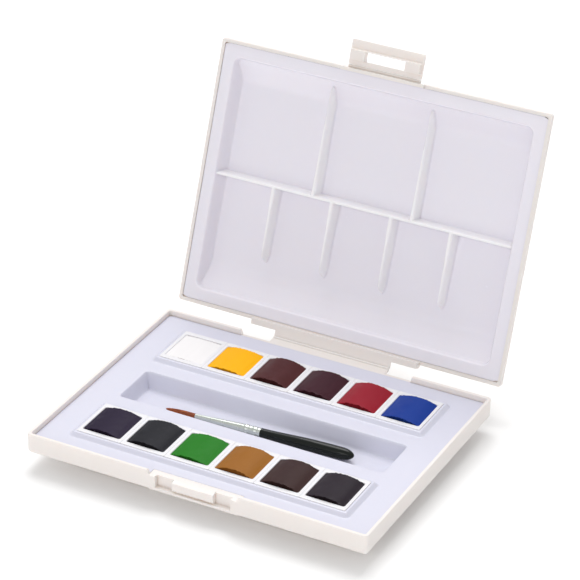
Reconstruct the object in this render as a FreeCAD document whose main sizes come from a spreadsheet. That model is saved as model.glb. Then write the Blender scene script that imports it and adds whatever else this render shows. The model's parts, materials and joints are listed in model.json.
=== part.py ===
import FreeCAD, Part
import os
import Sketcher

# A plastic watercolour pan set: a hinged case with two rows of half pans, a brush trough between
# them, a mixing palette in the lid and a snap latch.  Millimetres, +Z up.  The origin is the middle
# of the flat face that the base stands on; -Y is the latch side and +Y the hinge side.
# The lid's pieces are drawn shut and then swung open about the hinge line.

doc = FreeCAD.newDocument("watercolour_pan_set")

SIZES = [
    ("pan_width", 16.4),        # half pan, along the row
    ("pan_length", 19.0),       # half pan, across the row
    ("pan_height", 10.0),
    ("pan_corner", 0.4),
    ("pan_side_wall", 1.15),
    ("pan_end_wall", 1.8),
    ("pan_floor", 1.0),
    ("pan_gap", 0.1),           # from one pan to the next
    ("pan_play", 0.1),          # round the whole row
    ("pan_drop", 0.4),          # pan rims below the case rim
    ("cake_gap", 0.05),
    ("cake_side_drop", 0.45),   # cake edge below the pan rim
    ("cake_crown", 1.85),       # middle of the cake above its edge
    ("side_border", 13.0),      # end of a pan row to the case's side
    ("front_border", 10.45),    # outer end of a pan to the case's face
    ("shelf_width", 8.6),       # inner end of a pan to the trough
    ("trough_width", 18.4),
    ("trough_depth", 5.8),
    ("trough_end", 0.2),        # trough shorter than a row, each end
    ("trough_draft", 1.5),      # floor inside the mouth, each side
    ("trough_corner", 0.9),
    ("case_wall", 1.2),
    ("case_corner", 1.3),
    ("case_edge_round", 1.4),
    ("rim_round", 0.35),        # soft edges of every rim
    ("wall_height", 7.4),       # upright wall of the base
    ("shell_floor", 1.5),
    ("foot_corner", 2.8),
    ("foot_edge_round", 0.8),
    ("tray_drop", 2.0),         # tray surface below the case rim
    ("tray_plate", 1.0),
    ("tray_floor", 1.3),
    ("tray_wall", 1.0),
    ("tray_gap", 0.12),
    ("tray_well_gap", 0.2),
    ("collar_height", 1.3),
    ("collar_top", 0.7),
    ("collar_foot", 2.0),
    ("hinge_reach", 3.5),       # hinge line behind the rear wall
    ("hinge_drop", 2.2),        # hinge line below the case rim
    ("hinge_width", 44.6),
    ("hinge_leaf", 0.95),
    ("hinge_bead", 0.5),        # radius of the moulded hinge line
    ("hinge_play", 0.05),
    ("tab_width", 64.0),
    ("tab_out", 1.1),
    ("tab_side_gap", 0.5),
    ("tab_chamfer", 1.4),
    ("lid_corner", 1.2),
    ("lid_edge", 2.1),
    ("lid_edge_round", 0.7),
    ("lid_body_inset", 3.9),
    ("lid_body_corner", 5.0),
    ("lid_body_round", 1.4),
    ("lid_top", 1.0),
    ("lid_rim", 1.35),          # width of the lid's rim round the palette
    ("front_tab_width", 1.2),
    ("palette_gap", 0.1),
    ("palette_drop", 0.3),      # palette flange inside the lid's rim
    ("palette_sheet", 0.8),
    ("palette_border", 5.8),    # case edge to the wells
    ("rib_width", 1.3),
    ("rib_drop", 0.8),          # rib tops below the palette flange
    ("well_depth", 5.8),
    ("well_corner", 2.0),
    ("ramp_latch", 8.0),        # shallow ends of the palette
    ("ramp_hinge", 8.5),
    ("ramp_start", 1.45),       # depth at which a ramp starts
    ("small_rib_end", 19.0),    # free end of the short ribs to the hinge side
    ("latch_width", 27.4),
    ("latch_reach", 9.2),       # hinge line of the latch to its free end
    ("latch_plate", 1.2),
    ("latch_root", 0.5),
    ("latch_bead", 0.4),
    ("latch_up", 0.35),         # latch hinge line above the case rim
    ("latch_out", 0.55),        # and in front of the case
    ("latch_notch", 0.45),
    ("latch_notch_side", 1.5),
    ("window_width", 15.2),
    ("window_near", 2.2),
    ("window_far", 5.6),
    ("latch_arm_near", 2.15),
    ("latch_hook_far", 6.15),
    ("latch_arm_height", 1.5),
    ("latch_arm_bevel", 0.5),
    ("catch_width", 15.0),
    ("catch_top", 1.8),         # catch top below the case rim
    ("catch_low", 5.05),        # catch underside below the case rim
    ("catch_front", 2.2),      # catch front edge below the case rim
    ("hook_height", 0.95),      # hook bar behind the latch plate
    ("sill_depth", 0.95),       # recess below the catch
    ("pocket_width", 27.8),
    ("pocket_depth", 1.9),
    ("pocket_low", 6.0),
    ("boss_side", 2.6),
    ("front_drop", 1.7),        # rim cut-down at the latch
    ("front_drop_width", 32.1),
    ("brush_tip_x", -35.3),
    ("brush_tip_y", -2.35),
    ("brush_yaw", 1.8),
    ("brush_pitch", 1.1),
    ("brush_lift", 0.05),
    ("tuft_length", 11.1),
    ("tuft_in_ferrule", 3.0),
    ("tuft_radius", 0.68),
    ("tuft_belly", 0.85),
    ("ferrule_length", 24.7),
    ("ferrule_mouth", 0.78),
    ("ferrule_back", 1.55),
    ("ferrule_skin", 0.2),
    ("crimp_raise", 0.12),
    ("crimp_width", 0.9),
    ("crimp_step", 3.1),        # from one crimp ring to the next, and to the ferrule's end
    ("handle_length", 34.0),
    ("handle_in_ferrule", 5.0),
    ("handle_neck", 1.65),
    ("handle_belly", 2.15),
    ("handle_end", 1.3),
    ("open_angle", 110.0),
]

PANS = 6
ROWS = (("front", -1), ("back", 1))
PAINTS = {
    "front": ("indigo", "neutral_grey", "sap_green", "yellow_ochre", "burnt_umber", "sepia"),
    "back": ("chinese_white", "warm_yellow", "burnt_sienna", "alizarin", "crimson", "ultramarine"),
}

sheet = doc.addObject("Spreadsheet::Sheet", "size")
for row, (alias, value) in enumerate(SIZES, start=1):
    sheet.set(f"A{row}", alias)
    sheet.set(f"B{row}", str(value))
    sheet.setAlias(f"B{row}", alias)
doc.recompute()

# Lengths worked out from the sheet, as expressions.
PITCH = "(size.pan_width + size.pan_gap)"
ROW = f"({PANS} * {PITCH})"
HALF_X = f"({ROW} / 2 + size.side_border)"
HALF_Y = "(size.front_border + size.pan_length + size.shelf_width + size.trough_width / 2)"
ROW_Y = "(size.trough_width / 2 + size.shelf_width + size.pan_length / 2)"
WELL_FLOOR = "(size.shell_floor + size.tray_floor)"
PAN_RIM = f"({WELL_FLOOR} + size.pan_height)"
RIM = f"({PAN_RIM} + size.pan_drop)"
LEDGE = f"({RIM} - size.wall_height)"
TRAY_TOP = f"({RIM} - size.tray_drop)"
WELL_X = f"({ROW} / 2 + size.pan_play)"
WELL_Y = "(size.pan_length / 2 + size.pan_play)"
FOOT_X = f"({WELL_X} + size.tray_wall + size.tray_well_gap + size.case_wall)"
FOOT_Y = f"({ROW_Y} + {WELL_Y} + size.tray_wall + size.tray_well_gap + size.case_wall)"
HINGE_Y = f"({HALF_Y} + size.hinge_reach)"
HINGE_Z = f"({RIM} - size.hinge_drop)"
LATCH_Y = f"(-{HALF_Y} - size.latch_out)"
LATCH_Z = f"({RIM} + size.latch_up)"
PALETTE_TOP = f"({RIM} + size.palette_drop)"
BOSS_Y = f"(-{HALF_Y} + size.pocket_depth + 2 * size.case_wall)"
TROUGH_FLOOR = f"({TRAY_TOP} - size.trough_depth)"
PALETTE_FLOOR = f"({PALETTE_TOP} + size.well_depth)"
LID_ROOM = f"({PALETTE_FLOOR} + size.palette_sheet + size.palette_gap)"
LID_TOP = f"({LID_ROOM} + size.lid_top)"
FIRST_CRIMP = "(size.tuft_length + size.ferrule_length - 2 * size.crimp_step)"
BRUSH_Z = (f"({TROUGH_FLOOR} + size.brush_lift + size.ferrule_back + size.crimp_raise"
           f" - {FIRST_CRIMP} * sin(size.brush_pitch * 1 deg))")


def value(expression):
    """The number that an expression over the sheet comes to."""
    result = sheet.evalExpression(expression)
    return float(getattr(result, "Value", result))


def bind(thing, **properties):
    """Bind each property of an object to an expression."""
    for name, expression in properties.items():
        thing.setExpression(name.replace("__", "."), expression)


def block(name, low, high):
    """A box between two corners, each three expressions."""
    box = doc.addObject("Part::Box", name)
    spans = [f"{top} - ({bottom})" for bottom, top in zip(low, high)]
    bind(box, Length=spans[0], Width=spans[1], Height=spans[2])
    bind(box, Placement__Base__x=low[0], Placement__Base__y=low[1], Placement__Base__z=low[2])
    return box


def centred(name, half_x, half_y, low, high, middle_y="0"):
    """A box that is centred in X and about middle_y, from height low to height high."""
    return block(name, (f"-({half_x})", f"{middle_y} - ({half_y})", low),
                 (half_x, f"{middle_y} + ({half_y})", high))


def rod(name, radius, half_x, middle_y, middle_z):
    """A round rod along X, centred in X."""
    cylinder = doc.addObject("Part::Cylinder", name)
    cylinder.Placement.Rotation = FreeCAD.Rotation(FreeCAD.Vector(0, 1, 0), 90)
    bind(cylinder, Radius=radius, Height=f"2 * ({half_x})", Placement__Base__x=f"-({half_x})",
         Placement__Base__y=middle_y, Placement__Base__z=middle_z)
    return cylinder


def tapered(name, mouth, floor, low, high, middle_y="0"):
    """A block whose half sizes go from floor (x, y) at height low to mouth (x, y) at height high."""
    wedge = doc.addObject("Part::Wedge", name)
    wedge.Placement.Rotation = FreeCAD.Rotation(FreeCAD.Vector(1, 0, 0), 90)
    bind(wedge, Xmin=f"-({floor[0]})", Xmax=floor[0], Zmin=f"-({floor[1]})", Zmax=floor[1],
         X2min=f"-({mouth[0]})", X2max=mouth[0], Z2min=f"-({mouth[1]})", Z2max=mouth[1],
         Ymin="0", Ymax=f"{high} - ({low})", Placement__Base__y=middle_y, Placement__Base__z=low)
    return wedge


def fuse(name, *pieces):
    """The union of some pieces, as one solid."""
    union = doc.addObject("Part::MultiFuse", name)
    union.Shapes = list(pieces)
    union.Refine = True
    return union


def cut(name, body, *tools):
    """A body with its tools taken away."""
    tool = tools[0] if len(tools) == 1 else fuse(name + "_tools", *tools)
    result = doc.addObject("Part::Cut", name)
    result.Base = body
    result.Tool = tool
    result.Refine = True
    return result


def upright(edge):
    """True for a straight edge that runs along Z."""
    start, end = (vertex.Point for vertex in (edge.Vertexes[0], edge.Vertexes[-1]))
    return abs(start.x - end.x) + abs(start.y - end.y) < 1e-6 < abs(start.z - end.z)


def level_at(height):
    """A test for the edges that lie at one height."""
    def test(edge):
        return all(abs(vertex.Point.z - height) < 1e-6 for vertex in edge.Vertexes)
    return test


def rounded(name, base, radius, chosen):
    """A body with the chosen edges rounded to a radius given as an expression."""
    doc.recompute()
    size = value(radius)
    fillet = doc.addObject("Part::Fillet", name)
    fillet.Base = base
    fillet.Edges = [(n, size, size) for n, edge in enumerate(base.Shape.Edges, start=1) if chosen(edge)]
    return fillet


def panel(name, half_x, half_y, low, high, corner, middle_y="0"):
    """A centred block with rounded upright corners."""
    return rounded(name, centred(name + "_block", half_x, half_y, low, high, middle_y), corner, upright)


def outline(sketch, points):
    """Close a polygon through points (pairs of expressions, none negative) and bind every corner."""
    places = [FreeCAD.Vector(value(x), value(y), 0) for x, y in points]
    for start, end in zip(places, places[1:] + places[:1]):
        sketch.addGeometry(Part.LineSegment(start, end))
    for n in range(len(points)):
        sketch.addConstraint(Sketcher.Constraint("Coincident", n, 2, (n + 1) % len(points), 1))
    for n, point in enumerate(points):
        for kind, axis, expression in zip(("DistanceX", "DistanceY"), (-2, -1), point):
            if expression == "0":
                sketch.addConstraint(Sketcher.Constraint("PointOnObject", n, 1, axis))
            else:
                number = sketch.addConstraint(Sketcher.Constraint(kind, -1, 1, n, 1, value(expression)))
                sketch.setExpression(f"Constraints[{number}]", expression)


def body_sketch(body, name, plane):
    """A sketch on one of a body's own origin planes."""
    sketch = body.newObject("Sketcher::SketchObject", name)
    origin = [f for f in body.Origin.OriginFeatures if f.Role == plane][0]
    sketch.AttachmentSupport = [(origin, "")]
    sketch.MapMode = "FlatFace"
    return sketch


def swing_open(thing):
    """Turn a piece that was drawn shut to the open position, about the case's hinge line."""
    thing.Placement.Rotation = FreeCAD.Rotation(FreeCAD.Vector(1, 0, 0), -value("size.open_angle"))
    turn = "size.open_angle * 1 deg"
    bind(thing, Placement__Rotation__Angle=f"-({turn})",
         Placement__Base__y=f"{HINGE_Y} * (1 - cos({turn})) - {HINGE_Z} * sin({turn})",
         Placement__Base__z=f"{HINGE_Z} * (1 - cos({turn})) + {HINGE_Y} * sin({turn})")
    return thing


def make_base_shell():
    """The stepped tub: upright wall, ledge and foot, with the catch in front and the hinge leaf behind."""
    wall = panel("base_wall", HALF_X, HALF_Y, LEDGE, RIM, "size.case_corner")
    wall = rounded("base_wall_soft", wall, "size.case_edge_round", level_at(value(LEDGE)))
    foot = panel("base_foot", FOOT_X, FOOT_Y, "0", f"{LEDGE} + size.case_wall", "size.foot_corner")
    foot = rounded("base_foot_soft", foot, "size.foot_edge_round", level_at(0))
    leaf = block("base_leaf", ("-size.hinge_width / 2", f"{HALF_Y} - size.case_wall / 2",
                               f"{HINGE_Z} - size.hinge_play - size.hinge_leaf"),
                 ("size.hinge_width / 2", HINGE_Y, f"{HINGE_Z} - size.hinge_play"))
    boss = block("latch_boss", ("-size.pocket_width / 2 - size.boss_side",
                                f"-{HALF_Y} + size.case_wall / 2", LEDGE),
                 ("size.pocket_width / 2 + size.boss_side", BOSS_Y, TRAY_TOP))
    room = panel("base_room", f"{HALF_X} - size.case_wall", f"{HALF_Y} - size.case_wall",
                 f"{LEDGE} + size.case_wall", f"{RIM} + 1", "size.case_corner / 2")
    foot_room = panel("foot_room", f"{FOOT_X} - size.case_wall", f"{FOOT_Y} - size.case_wall",
                      "size.shell_floor", f"{RIM} + 1", "size.foot_corner - size.case_wall")
    tub = cut("base_sharp_tub", fuse("base_outside", wall, foot), room, foot_room)
    tub = rounded("base_tub", tub, "size.rim_round", level_at(value(RIM)))
    front_gap = tapered("front_gap", ("size.front_drop_width / 2 + size.tab_chamfer", "size.pocket_depth"),
                        ("size.front_drop_width / 2", "size.pocket_depth"),
                        f"{RIM} - size.front_drop", f"{RIM} + size.case_wall", f"-{HALF_Y}")
    rear_gap = tapered("rear_gap", ("size.tab_width / 2 + size.tab_side_gap + size.tab_chamfer",
                                    "2 * size.case_wall"),
                       ("size.tab_width / 2 + size.tab_side_gap", "2 * size.case_wall"),
                       HINGE_Z, f"{RIM} + size.hinge_drop", HALF_Y)
    pocket = block("latch_pocket", ("-size.pocket_width / 2", f"-{HALF_Y} - 1", f"{RIM} - size.pocket_low"),
                   ("size.pocket_width / 2", f"-{HALF_Y} + size.pocket_depth", f"{RIM} + 1"))
    groove = rod("base_leaf_groove", "size.hinge_bead", "size.hinge_width / 2", HINGE_Y, HINGE_Z)
    body = cut("base_without_catch", fuse("base_whole", tub, leaf, boss), front_gap, rear_gap, pocket, groove)
    return fuse("base_shell", body, make_catch())


def make_catch():
    """The catch block in the latch pocket, with a sloped top that runs down to its front edge."""
    low = block("catch_block", ("-size.catch_width / 2", f"-{HALF_Y}", f"{RIM} - size.catch_low"),
                ("size.catch_width / 2", f"-{HALF_Y} + size.pocket_depth + size.case_wall / 2",
                 f"{RIM} - size.catch_top"))
    doc.recompute()
    slope = doc.addObject("Part::Chamfer", "catch")
    slope.Base = low
    front = value(f"-{HALF_Y}")
    top = level_at(value(f"{RIM} - size.catch_top"))
    down = value("size.catch_front - size.catch_top")
    back = value("size.pocket_depth * 0.8")
    edges = [n for n, edge in enumerate(low.Shape.Edges, start=1)
             if top(edge) and all(abs(v.Point.y - front) < 1e-6 for v in edge.Vertexes)]
    slope.Edges = [(n, down, back) for n in edges]
    doc.recompute()
    if slope.Shape.Volume > low.Shape.Volume - 0.45 * down * back * value("size.catch_width"):
        raise RuntimeError("the catch's slope is missing")
    sill = block("catch_sill", ("-size.catch_width / 2", f"-{HALF_Y} + size.sill_depth",
                                f"{RIM} - size.pocket_low - size.case_wall / 2"),
                 ("size.catch_width / 2", f"-{HALF_Y} + size.pocket_depth + size.case_wall / 2",
                  f"{RIM} - size.catch_low + size.case_wall / 2"))
    return fuse("catch_whole", slope, sill)


def make_tray():
    """The lift-in tray: a plate with two pan wells in raised collars and the brush trough."""
    plate = centred("tray_plate_block", f"{HALF_X} - size.case_wall - size.tray_gap",
                    f"{HALF_Y} - size.case_wall - size.tray_gap", f"{TRAY_TOP} - size.tray_plate", TRAY_TOP)
    plate = rounded("tray_plate_panel", plate, "size.case_corner / 2", upright)
    solids = [plate]
    holes = []
    for row, side in ROWS:
        middle = f"{side} * {ROW_Y}"
        top, foot = ((f"{WELL_X} + size.collar_{end}", f"{WELL_Y} + size.collar_{end}")
                     for end in ("top", "foot"))
        solids.append(tapered(f"collar_{row}", top, foot, f"{TRAY_TOP} - size.tray_plate / 2",
                              f"{TRAY_TOP} + size.collar_height", middle))
        solids.append(panel(f"well_{row}", f"{WELL_X} + size.tray_wall", f"{WELL_Y} + size.tray_wall",
                            "size.shell_floor", TRAY_TOP, "size.foot_corner - size.case_wall", middle))
        holes.append(centred(f"well_room_{row}", WELL_X, WELL_Y, WELL_FLOOR, f"{RIM} + 1", middle))
    mouth = (f"{ROW} / 2 - size.trough_end", "size.trough_width / 2")
    floor = (f"{mouth[0]} - size.trough_draft", f"{mouth[1]} - size.trough_draft")
    solids.append(tapered("trough_outside", tuple(f"{half} + size.tray_wall" for half in mouth),
                          tuple(f"{half} + size.tray_wall" for half in floor),
                          f"{TROUGH_FLOOR} - size.tray_floor", TRAY_TOP))
    room = tapered("trough_room", mouth, floor, TROUGH_FLOOR, TRAY_TOP)
    doc.recompute()
    room = rounded("trough_room_soft", room, "size.trough_corner",
                   lambda edge: not level_at(value(TRAY_TOP))(edge))
    notch = block("boss_room", ("-size.pocket_width / 2 - size.boss_side - size.tray_gap",
                                f"-{HALF_Y}", f"{TRAY_TOP} - 2 * size.tray_plate"),
                  ("size.pocket_width / 2 + size.boss_side + size.tray_gap",
                   f"{BOSS_Y} + size.tray_gap", f"{TRAY_TOP} + 1"))
    return cut("colour_tray", fuse("tray_solid", *solids), room, notch, *holes)


def make_pan(name, column, side):
    """One half pan: an open plastic cup with rounded upright corners."""
    body = doc.addObject("PartDesign::Body", name)
    outer = body_sketch(body, name + "_outer", "XY_Plane")
    outline(outer, [("0", "0"), ("size.pan_width", "0"), ("size.pan_width", "size.pan_length"),
                    ("0", "size.pan_length")])
    pad = body.newObject("PartDesign::Pad", name + "_block")
    pad.Profile = outer
    bind(pad, Length="size.pan_height")
    doc.recompute()
    soft = body.newObject("PartDesign::Fillet", name + "_corners")
    soft.Base = (pad, [f"Edge{n}" for n, edge in enumerate(pad.Shape.Edges, start=1) if upright(edge)])
    bind(soft, Radius="size.pan_corner")
    inner = body_sketch(body, name + "_inner", "XY_Plane")
    bind(inner, AttachmentOffset__Base__z="size.pan_height")
    wide = "size.pan_width - size.pan_side_wall"
    long = "size.pan_length - size.pan_end_wall"
    outline(inner, [("size.pan_side_wall", "size.pan_end_wall"), (wide, "size.pan_end_wall"),
                    (wide, long), ("size.pan_side_wall", long)])
    pocket = body.newObject("PartDesign::Pocket", name + "_cup")
    pocket.Profile = inner
    bind(pocket, Length="size.pan_height - size.pan_floor")
    body.Tip = pocket
    bind(body, Placement__Base__x=f"({column} - {PANS} / 2) * {PITCH} + size.pan_gap / 2",
         Placement__Base__y=f"{side} * {ROW_Y} - size.pan_length / 2", Placement__Base__z=WELL_FLOOR)
    return body


def make_cake(name, column, side):
    """The paint in one pan: a block with a barrel top that is arched along the row."""
    middle_x = f"(({column} + 0.5 - {PANS} / 2) * {PITCH})"
    half_x = "(size.pan_width / 2 - size.pan_side_wall - size.cake_gap)"
    half_y = "(size.pan_length / 2 - size.pan_end_wall - size.cake_gap)"
    crown = f"({PAN_RIM} - size.cake_side_drop + size.cake_crown)"
    radius = f"(({half_x} * {half_x} + size.cake_crown * size.cake_crown) / (2 * size.cake_crown))"
    box = block(name + "_block", (f"{middle_x} - {half_x}", f"{side} * {ROW_Y} - {half_y}",
                                  f"{WELL_FLOOR} + size.pan_floor"),
                (f"{middle_x} + {half_x}", f"{side} * {ROW_Y} + {half_y}", crown))
    barrel = doc.addObject("Part::Cylinder", name + "_barrel")
    barrel.Placement.Rotation = FreeCAD.Rotation(FreeCAD.Vector(1, 0, 0), -90)
    bind(barrel, Radius=radius, Height="size.pan_length", Placement__Base__x=middle_x,
         Placement__Base__y=f"{side} * {ROW_Y} - size.pan_length / 2",
         Placement__Base__z=f"{crown} - {radius}")
    cake = doc.addObject("Part::MultiCommon", name)
    cake.Shapes = [box, barrel]
    return cake


def make_lid_shell():
    """The lid: an edge frame, a raised body, the hinge tab and leaf and the latch notch."""
    edge = panel("lid_edge_plate", HALF_X, HALF_Y, RIM, f"{RIM} + size.lid_edge", "size.lid_corner")
    edge = rounded("lid_edge_soft", edge, "size.lid_edge_round", level_at(value(f"{RIM} + size.lid_edge")))
    top = LID_TOP
    dome = panel("lid_body", f"{HALF_X} - size.lid_body_inset", f"{HALF_Y} - size.lid_body_inset",
                 f"{RIM} + size.lid_edge / 2", top, "size.lid_body_corner")
    dome = rounded("lid_body_soft", dome, "size.lid_body_round", level_at(value(top)))
    edge = rounded("lid_edge_panel", edge, "size.rim_round", level_at(value(RIM)))
    tab = block("hinge_tab", ("-size.tab_width / 2", f"{HALF_Y} - size.case_wall + size.tray_gap",
                              f"{HINGE_Z} + size.hinge_play"),
                ("size.tab_width / 2", f"{HALF_Y} + size.tab_out", f"{RIM} + size.lid_edge / 2"))
    tab = rounded("hinge_tab_soft", tab, "size.tab_out * 0.7",
                  lambda line: all(abs(v.Point.y - value(f"{HALF_Y} + size.tab_out")) < 1e-6
                                   for v in line.Vertexes) and upright(line) is False
                  and level_at(value(f"{RIM} + size.lid_edge / 2"))(line))
    leaf = block("lid_leaf", ("-size.hinge_width / 2", HALF_Y, f"{HINGE_Z} + size.hinge_play"),
                 ("size.hinge_width / 2", HINGE_Y, f"{HINGE_Z} + size.hinge_play + size.hinge_leaf"))
    tab_x = "size.front_drop_width / 2 - size.tab_side_gap"
    front_tab = block("front_tab", (f"-({tab_x})", f"-{HALF_Y} + size.tray_gap / 2",
                                    f"{RIM} - size.front_drop + size.tray_gap"),
                      (tab_x, f"-{HALF_Y} + size.front_tab_width", f"{RIM} + size.lid_edge / 2"))
    seat = panel("palette_seat", f"{HALF_X} - size.lid_rim", f"{HALF_Y} - size.lid_rim", RIM,
                 f"{PALETTE_TOP} + size.palette_sheet", "size.lid_corner / 2")
    inset = "size.palette_border - size.palette_sheet - size.palette_gap"
    room = panel("palette_room", f"{HALF_X} - ({inset})", f"{HALF_Y} - ({inset})", RIM,
                 LID_ROOM, "size.well_corner + size.palette_sheet + size.palette_gap")
    groove = rod("lid_leaf_groove", "size.hinge_bead + size.hinge_play", "size.hinge_width", HINGE_Y, HINGE_Z)
    notch_x = "size.latch_width / 2 + size.latch_notch_side"
    notch = block("latch_notch_block", (f"-({notch_x})", f"-{HALF_Y} - 1", RIM),
                  (notch_x, f"-{HALF_Y} + size.latch_notch", LID_TOP))
    frame = cut("lid_frame", fuse("lid_outside", edge, dome), seat, room)
    return swing_open(cut("lid_shell", fuse("lid_solid", frame, tab, leaf, front_tab), groove, notch))


def make_ramp(name, well_x, well_y, run, side):
    """A shallow slope at the latch end (side 1) or the hinge end (side -1) of the palette's wells."""
    ramp = doc.addObject("Part::Wedge", name)
    ramp.Placement.Rotation = FreeCAD.Rotation(FreeCAD.Vector(1, 0, 0), 90)
    wall = f"{well_y} + size.palette_sheet / 2"
    toe = f"{well_y} - size.palette_sheet / 2"
    far = f"{well_y} - {run}"
    low, high, deep = (toe, wall, far) if side > 0 else (f"-({wall})", f"-({toe})", f"-({far})")
    bind(ramp, Xmin=f"-{well_x}", Xmax=well_x, X2min=f"-{well_x}", X2max=well_x, Zmin=low, Zmax=high,
         Z2min=deep if side > 0 else low, Z2max=high if side > 0 else deep, Ymin="0",
         Ymax="size.well_depth - size.ramp_start", Placement__Base__z=f"{PALETTE_TOP} + size.ramp_start")
    return ramp


def make_palette():
    """The palette: a flanged sheet with three large wells, five small ones and their common gutter."""
    flange_inset = "size.lid_rim + size.palette_gap"
    flange = panel("palette_flange", f"{HALF_X} - ({flange_inset})", f"{HALF_Y} - ({flange_inset})",
                   PALETTE_TOP, f"{PALETTE_TOP} + size.palette_sheet", "size.lid_corner / 2")
    floor = PALETTE_FLOOR
    body_inset = "size.palette_border - size.palette_sheet"
    body = panel("palette_body", f"{HALF_X} - ({body_inset})", f"{HALF_Y} - ({body_inset})",
                 PALETTE_TOP, f"{floor} + size.palette_sheet", "size.well_corner + size.palette_sheet")
    well_x = f"({HALF_X} - size.palette_border)"
    well_y = f"({HALF_Y} - size.palette_border)"
    shallow = panel("palette_shallow", well_x, well_y, f"{PALETTE_TOP} - 1",
                    f"{PALETTE_TOP} + size.rib_drop", "size.well_corner")
    tools = [shallow]
    for count, side, kind in ((3, -1, "large"), (5, 1, "small")):
        step = f"(2 * {well_x} / {count})"
        for n in range(count):
            low_x = f"-{well_x}" if n == 0 else f"-{well_x} + {n} * {step} + size.rib_width / 2"
            high_x = well_x if n == count - 1 else f"-{well_x} + {n + 1} * {step} - size.rib_width / 2"
            low_y, high_y = ("size.rib_width / 2", f"{HALF_Y} - size.small_rib_end")
            if side < 0:
                low_y, high_y = (f"-{well_y}", "-size.rib_width / 2")
            hole = block(f"{kind}_well_{n + 1}_block", (low_x, low_y, f"{PALETTE_TOP} - 1"),
                         (high_x, high_y, floor))
            if side < 0:
                hole = rounded(f"{kind}_well_{n + 1}", hole, "size.well_corner", upright)
            tools.append(hole)
    tools.append(panel("gutter", well_x, f"({well_y} - {HALF_Y} + size.small_rib_end + size.well_corner) / 2",
                       f"{PALETTE_TOP} - 1", floor, "size.well_corner",
                       f"({well_y} + {HALF_Y} - size.small_rib_end - size.well_corner) / 2"))
    hollow = cut("palette_hollow", fuse("palette_solid", flange, body), *tools)
    ramps = fuse("palette_ramp_blocks", make_ramp("latch_ramp", well_x, well_y, "size.ramp_latch", 1),
                 make_ramp("hinge_ramp", well_x, well_y, "size.ramp_hinge", -1))
    trimmed = doc.addObject("Part::MultiCommon", "palette_ramps")
    trimmed.Shapes = [ramps, body]
    return swing_open(fuse("mixing_palette", hollow, trimmed))


def make_latch():
    """The latch, drawn in line with the shut lid: a plate with a window and a bevelled frame behind it."""
    half = "size.latch_width / 2"
    face = RIM
    plate = block("latch_plate_block", (f"-{half}", f"{LATCH_Y} - size.latch_reach", face),
                  (half, f"{LATCH_Y} - size.latch_root", f"{face} + size.latch_plate"))
    plate = rounded("latch_plate_panel", plate, "size.latch_plate / 2", upright)
    top = level_at(value(f"{face} + size.latch_plate"))
    plate = rounded("latch_plate_soft", plate, "size.rim_round", top)
    reach = "(size.latch_hook_far - size.latch_arm_near) / 2"
    foot = (f"{half} - size.pan_play", reach)
    nose = (f"{half} - size.pan_play - size.latch_arm_bevel", f"{reach} - size.latch_arm_bevel / 2")
    frame = tapered("latch_frame", foot, nose, f"{face} - size.latch_arm_height",
                    f"{face} + size.latch_plate / 2",
                    f"{LATCH_Y} - (size.latch_hook_far + size.latch_arm_near) / 2")
    window = block("latch_window", ("-size.window_width / 2", f"{LATCH_Y} - size.window_far",
                                    f"{face} - size.wall_height"),
                   ("size.window_width / 2", f"{LATCH_Y} - size.window_near", f"{face} + size.wall_height"))
    relief = block("latch_relief", ("-size.window_width / 2",
                                    f"{LATCH_Y} - size.window_near - size.latch_root",
                                    f"{face} - size.wall_height"),
                   ("size.window_width / 2", LATCH_Y, face))
    low_bar = block("latch_low_bar", ("-size.window_width / 2", f"{LATCH_Y} - size.latch_reach",
                                      f"{face} - size.wall_height"),
                    ("size.window_width / 2", f"{LATCH_Y} - size.window_near", f"{face} - size.hook_height"))
    groove = rod("latch_groove", "size.latch_bead + size.hinge_play", half, LATCH_Y, LATCH_Z)
    return swing_open(cut("latch", fuse("latch_solid", plate, frame), window, relief, low_bar, groove))


def make_latch_web():
    """The moulded web that the latch turns on: a thin strip from the lid's edge to a round bead."""
    half = "size.latch_width / 2"
    strip = block("latch_web_strip", (f"-{half}", LATCH_Y, f"{LATCH_Z} - size.latch_bead / 2"),
                  (half, f"-{HALF_Y} + size.latch_notch", f"{LATCH_Z} + size.latch_bead / 2"))
    bead = rod("latch_web_bead", "size.latch_bead", half, LATCH_Y, LATCH_Z)
    return swing_open(fuse("latch_web", strip, bead))


def make_hinge_web():
    """The moulded hinge line between the two leaves, as a round bead."""
    return rod("hinge_web", "size.hinge_bead", "size.hinge_width / 2", HINGE_Y, HINGE_Z)


def turned(name, points):
    """A piece turned about its own X axis from a half outline of (along, radius) expressions."""
    body = doc.addObject("PartDesign::Body", name)
    sketch = body_sketch(body, name + "_outline", "XY_Plane")
    outline(sketch, points)
    spin = body.newObject("PartDesign::Revolution", name + "_turned")
    spin.Profile = sketch
    spin.ReferenceAxis = (sketch, ["H_Axis"])
    spin.Angle = 360
    body.Tip = spin
    turn = FreeCAD.Rotation(value("size.brush_yaw"), -value("size.brush_pitch"), 0)
    body.Placement.Rotation = turn
    bind(body, Placement__Base__x="size.brush_tip_x", Placement__Base__y="size.brush_tip_y",
         Placement__Base__z=BRUSH_Z)
    return body


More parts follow.
